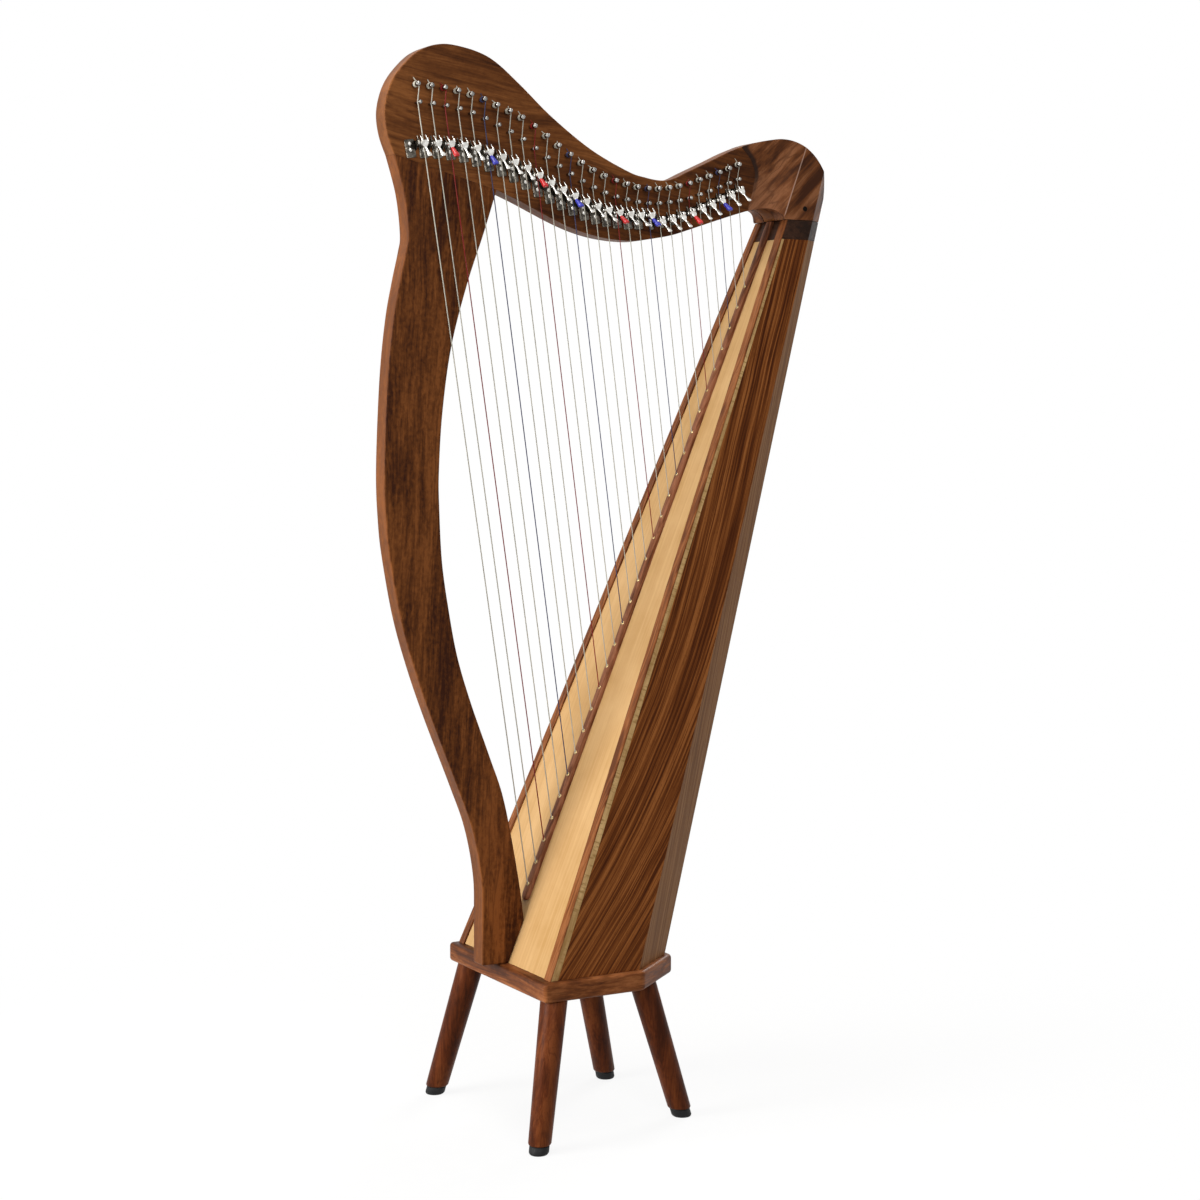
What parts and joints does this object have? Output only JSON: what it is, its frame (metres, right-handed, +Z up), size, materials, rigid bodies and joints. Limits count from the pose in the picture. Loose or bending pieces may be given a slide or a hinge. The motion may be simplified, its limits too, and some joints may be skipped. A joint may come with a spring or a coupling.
{
  "type": "lever harp",
  "caption": "Floor-standing lever harp with a curved pillar and neck, a tapered soundbox on a footed base, and a sharping lever on each string.",
  "frame": {"origin": "centre of the footprint box on the floor, under the harp", "axes": "+Z up, +X from the pillar towards the player, -Y the player's left, where strings and levers lie"},
  "size_m": [0.604, 0.3016, 1.2717],
  "materials": {
    "rosewood": "satin lacquer over figured dark timber",
    "rosewood_veneer": "satin lacquer over striped veneer",
    "rosewood_dark": "satin lacquer over near-black timber",
    "spruce": "clear satin lacquer",
    "maple": "clear satin lacquer",
    "birch": "bare planed wood",
    "nickel": "bright nickel plate",
    "nylon": "smooth clear nylon",
    "string_red": "smooth red nylon",
    "string_blue": "smooth dark blue nylon",
    "sleeve_red": "glossy dipped sleeve",
    "sleeve_blue": "glossy dipped sleeve",
    "brass": "worn polish",
    "rubber": "matt moulded"
  },
  "bodies": {
    "root": {"back_panel": "rosewood_veneer", "base_plate": "rosewood", "board_liner_left": "maple", "board_liner_right": "maple", "cross_brace_lower": "birch", "cross_brace_upper": "birch", "edge_trim_left": "rosewood", "edge_trim_right": "rosewood", "end_block": "rosewood_dark", "facet_panel_left": "rosewood_veneer", "facet_panel_right": "rosewood_veneer", "leg_back_left": "rosewood", "leg_back_right": "rosewood", "leg_front_left": "rosewood", "leg_front_right": "rosewood", "neck": "rosewood", "pillar": "rosewood", "rubber_foot_back_left": "rubber", "rubber_foot_back_right": "rubber", "rubber_foot_front_left": "rubber", "rubber_foot_front_right": "rubber", "shoulder_cheek_left": "rosewood", "shoulder_cheek_right": "rosewood", "shoulder_dowel": "rosewood_dark", "side_panel_left": "rosewood_veneer", "side_panel_right": "rosewood_veneer", "soundboard": "spruce", "string_rib": "rosewood", "string_set": "nylon", "toe_block": "birch"},
    "lever_01_body": {"lever_01": "nickel"},
    "lever_02_body": {"lever_02": "nickel"},
    "lever_03_body": {"lever_03": "nickel"},
    "lever_04_body": {"lever_04": "nickel"},
    "lever_05_body": {"lever_05": "nickel"},
    "lever_06_body": {"lever_06": "nickel"},
    "lever_07_body": {"lever_07": "nickel"},
    "lever_08_body": {"lever_08": "nickel"},
    "lever_09_body": {"lever_09": "nickel"},
    "lever_10_body": {"lever_10": "nickel"},
    "lever_11_body": {"lever_11": "nickel"},
    "lever_12_body": {"lever_12": "nickel"},
    "lever_13_body": {"lever_13": "nickel"},
    "lever_14_body": {"lever_14": "nickel"},
    "lever_15_body": {"lever_15": "nickel"},
    "lever_16_body": {"lever_16": "nickel"},
    "lever_17_body": {"lever_17": "nickel"},
    "lever_18_body": {"lever_18": "nickel"},
    "lever_19_body": {"lever_19": "nickel"},
    "lever_20_body": {"lever_20": "nickel"},
    "lever_21_body": {"lever_21": "nickel"},
    "lever_22_body": {"lever_22": "nickel"},
    "lever_23_body": {"lever_23": "nickel"},
    "lever_24_body": {"lever_24": "nickel"},
    "lever_25_body": {"lever_25": "nickel"},
    "lever_26_body": {"lever_26": "nickel"},
    "lever_27_body": {"lever_27": "nickel"},
    "lever_28_body": {"lever_28": "nickel"},
    "lever_29_body": {"lever_29": "nickel"}
  },
  "joints": [
    {"name": "lever_01_flip", "type": "hinge", "parent": "root", "child": "lever_01_body", "pos_m": [-0.25574, -0.025, 1.15642], "axis": [-0.9865, 0, -0.1636], "range_deg": [0, 90]},
    {"name": "lever_02_flip", "type": "hinge", "parent": "root", "child": "lever_02_body", "pos_m": [-0.239, -0.025, 1.15723], "axis": [-0.9868, 0, -0.1617], "range_deg": [0, 90]},
    {"name": "lever_03_flip", "type": "hinge", "parent": "root", "child": "lever_03_body", "pos_m": [-0.22238, -0.025, 1.15754], "axis": [-0.9871, 0, -0.16], "range_deg": [0, 90]},
    {"name": "lever_04_flip", "type": "hinge", "parent": "root", "child": "lever_04_body", "pos_m": [-0.20588, -0.025, 1.15659], "axis": [-0.9874, 0, -0.1585], "range_deg": [0, 90]},
    {"name": "lever_05_flip", "type": "hinge", "parent": "root", "child": "lever_05_body", "pos_m": [-0.18949, -0.025, 1.15458], "axis": [-0.9875, 0, -0.1574], "range_deg": [0, 90]},
    {"name": "lever_06_flip", "type": "hinge", "parent": "root", "child": "lever_06_body", "pos_m": [-0.17321, -0.025, 1.1508], "axis": [-0.9877, 0, -0.1566], "range_deg": [0, 90]},
    {"name": "lever_07_flip", "type": "hinge", "parent": "root", "child": "lever_07_body", "pos_m": [-0.15706, -0.025, 1.14613], "axis": [-0.9877, 0, -0.1561], "range_deg": [0, 90]},
    {"name": "lever_08_flip", "type": "hinge", "parent": "root", "child": "lever_08_body", "pos_m": [-0.14101, -0.025, 1.14106], "axis": [-0.9878, 0, -0.1558], "range_deg": [0, 90]},
    {"name": "lever_09_flip", "type": "hinge", "parent": "root", "child": "lever_09_body", "pos_m": [-0.12509, -0.025, 1.13521], "axis": [-0.9878, 0, -0.1559], "range_deg": [0, 90]},
    {"name": "lever_10_flip", "type": "hinge", "parent": "root", "child": "lever_10_body", "pos_m": [-0.10928, -0.025, 1.12759], "axis": [-0.9877, 0, -0.1566], "range_deg": [0, 90]},
    {"name": "lever_11_flip", "type": "hinge", "parent": "root", "child": "lever_11_body", "pos_m": [-0.09359, -0.025, 1.11965], "axis": [-0.9875, 0, -0.1576], "range_deg": [0, 90]},
    {"name": "lever_12_flip", "type": "hinge", "parent": "root", "child": "lever_12_body", "pos_m": [-0.07801, -0.025, 1.11256], "axis": [-0.9873, 0, -0.1587], "range_deg": [0, 90]},
    {"name": "lever_13_flip", "type": "hinge", "parent": "root", "child": "lever_13_body", "pos_m": [-0.06255, -0.025, 1.10599], "axis": [-0.9871, 0, -0.1601], "range_deg": [0, 90]},
    {"name": "lever_14_flip", "type": "hinge", "parent": "root", "child": "lever_14_body", "pos_m": [-0.0472, -0.025, 1.10011], "axis": [-0.9869, 0, -0.1616], "range_deg": [0, 90]},
    {"name": "lever_15_flip", "type": "hinge", "parent": "root", "child": "lever_15_body", "pos_m": [-0.03197, -0.025, 1.09507], "axis": [-0.9866, 0, -0.1633], "range_deg": [0, 90]},
    {"name": "lever_16_flip", "type": "hinge", "parent": "root", "child": "lever_16_body", "pos_m": [-0.01686, -0.025, 1.09131], "axis": [-0.9863, 0, -0.165], "range_deg": [0, 90]},
    {"name": "lever_17_flip", "type": "hinge", "parent": "root", "child": "lever_17_body", "pos_m": [-0.00186, -0.025, 1.08898], "axis": [-0.986, 0, -0.1667], "range_deg": [0, 90]},
    {"name": "lever_18_flip", "type": "hinge", "parent": "root", "child": "lever_18_body", "pos_m": [0.01303, -0.025, 1.08776], "axis": [-0.9857, 0, -0.1684], "range_deg": [0, 90]},
    {"name": "lever_19_flip", "type": "hinge", "parent": "root", "child": "lever_19_body", "pos_m": [0.0278, -0.025, 1.08717], "axis": [-0.9854, 0, -0.1704], "range_deg": [0, 90]},
    {"name": "lever_20_flip", "type": "hinge", "parent": "root", "child": "lever_20_body", "pos_m": [0.04245, -0.025, 1.08766], "axis": [-0.985, 0, -0.1725], "range_deg": [0, 90]},
    {"name": "lever_21_flip", "type": "hinge", "parent": "root", "child": "lever_21_body", "pos_m": [0.0584, -0.025, 1.08167], "axis": [-0.9846, 0, -0.1745], "range_deg": [0, 90]},
    {"name": "lever_22_flip", "type": "hinge", "parent": "root", "child": "lever_22_body", "pos_m": [0.0729, -0.025, 1.08448], "axis": [-0.9843, 0, -0.1766], "range_deg": [0, 90]},
    {"name": "lever_23_flip", "type": "hinge", "parent": "root", "child": "lever_23_body", "pos_m": [0.08729, -0.025, 1.08819], "axis": [-0.9839, 0, -0.1788], "range_deg": [0, 90]},
    {"name": "lever_24_flip", "type": "hinge", "parent": "root", "child": "lever_24_body", "pos_m": [0.10155, -0.025, 1.09294], "axis": [-0.9835, 0, -0.1812], "range_deg": [0, 90]},
    {"name": "lever_25_flip", "type": "hinge", "parent": "root", "child": "lever_25_body", "pos_m": [0.11571, -0.025, 1.0986], "axis": [-0.983, 0, -0.1838], "range_deg": [0, 90]},
    {"name": "lever_26_flip", "type": "hinge", "parent": "root", "child": "lever_26_body", "pos_m": [0.12975, -0.025, 1.10451], "axis": [-0.9823, 0, -0.1873], "range_deg": [0, 90]},
    {"name": "lever_27_flip", "type": "hinge", "parent": "root", "child": "lever_27_body", "pos_m": [0.14369, -0.025, 1.11058], "axis": [-0.9814, 0, -0.1921], "range_deg": [0, 90]},
    {"name": "lever_28_flip", "type": "hinge", "parent": "root", "child": "lever_28_body", "pos_m": [0.15753, -0.025, 1.11686], "axis": [-0.98, 0, -0.1988], "range_deg": [0, 90]},
    {"name": "lever_29_flip", "type": "hinge", "parent": "root", "child": "lever_29_body", "pos_m": [0.17128, -0.025, 1.12321], "axis": [-0.978, 0, -0.2084], "range_deg": [0, 90]}
  ]
}
